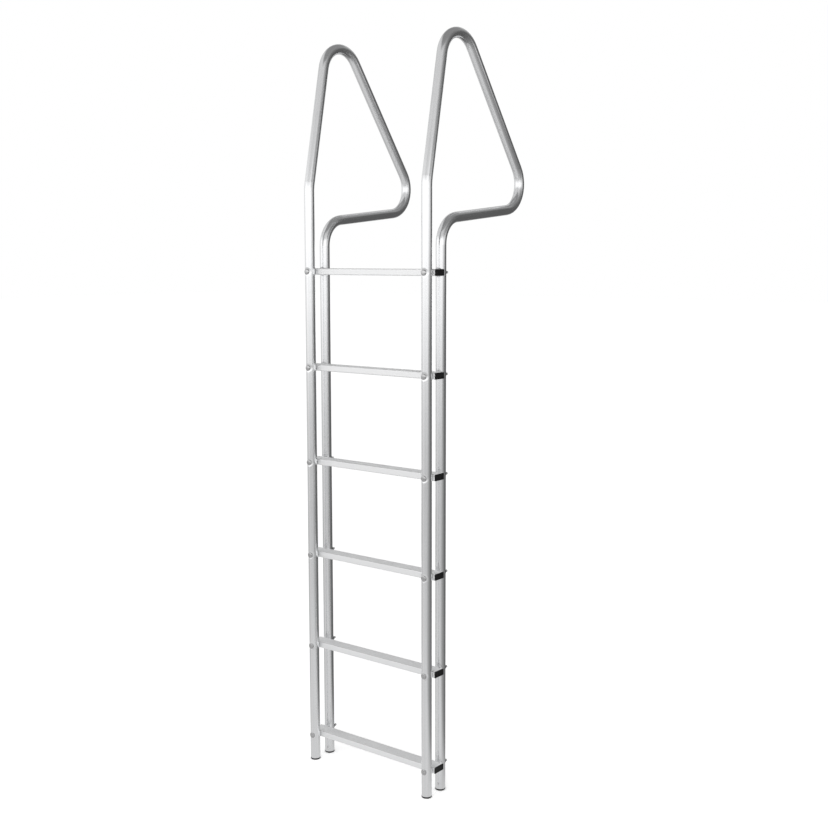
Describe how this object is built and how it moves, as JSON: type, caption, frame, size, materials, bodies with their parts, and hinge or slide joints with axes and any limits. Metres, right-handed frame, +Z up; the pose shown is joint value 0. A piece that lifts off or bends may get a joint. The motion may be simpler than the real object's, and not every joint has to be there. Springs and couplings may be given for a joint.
{
  "type": "dock ladder",
  "caption": "Dock ladder: two bent tube side frames with closed hand loops, joined by flat extruded steps bolted between paired legs, with black plastic end plugs.",
  "frame": {"origin": "middle of the bottom face of the left front foot", "axes": "+X from the left side frame to the right one, seen by a climber; +Y from the climber towards the dock; +Z up along the legs"},
  "size_m": [0.508, 0.5233, 2.327],
  "materials": {
    "tube_aluminium": "satin anodised",
    "step_aluminium": "satin extruded",
    "black_plastic": "moulded, fine grain",
    "bolt_steel": "satin stainless"
  },
  "bodies": {
    "root": {"side_frame_left": "tube_aluminium", "foot_plug_front_left": "black_plastic", "foot_plug_rear_left": "black_plastic", "side_frame_right": "tube_aluminium", "foot_plug_front_right": "black_plastic", "foot_plug_rear_right": "black_plastic", "step_1": "step_aluminium", "step_1_end_cap_left": "black_plastic", "step_1_end_cap_right": "black_plastic", "step_2": "step_aluminium", "step_2_end_cap_left": "black_plastic", "step_2_end_cap_right": "black_plastic", "step_3": "step_aluminium", "step_3_end_cap_left": "black_plastic", "step_3_end_cap_right": "black_plastic", "step_4": "step_aluminium", "step_4_end_cap_left": "black_plastic", "step_4_end_cap_right": "black_plastic", "step_5": "step_aluminium", "step_5_end_cap_left": "black_plastic", "step_5_end_cap_right": "black_plastic", "step_6": "step_aluminium", "step_6_end_cap_left": "black_plastic", "step_6_end_cap_right": "black_plastic"}
  },
  "joints": []
}
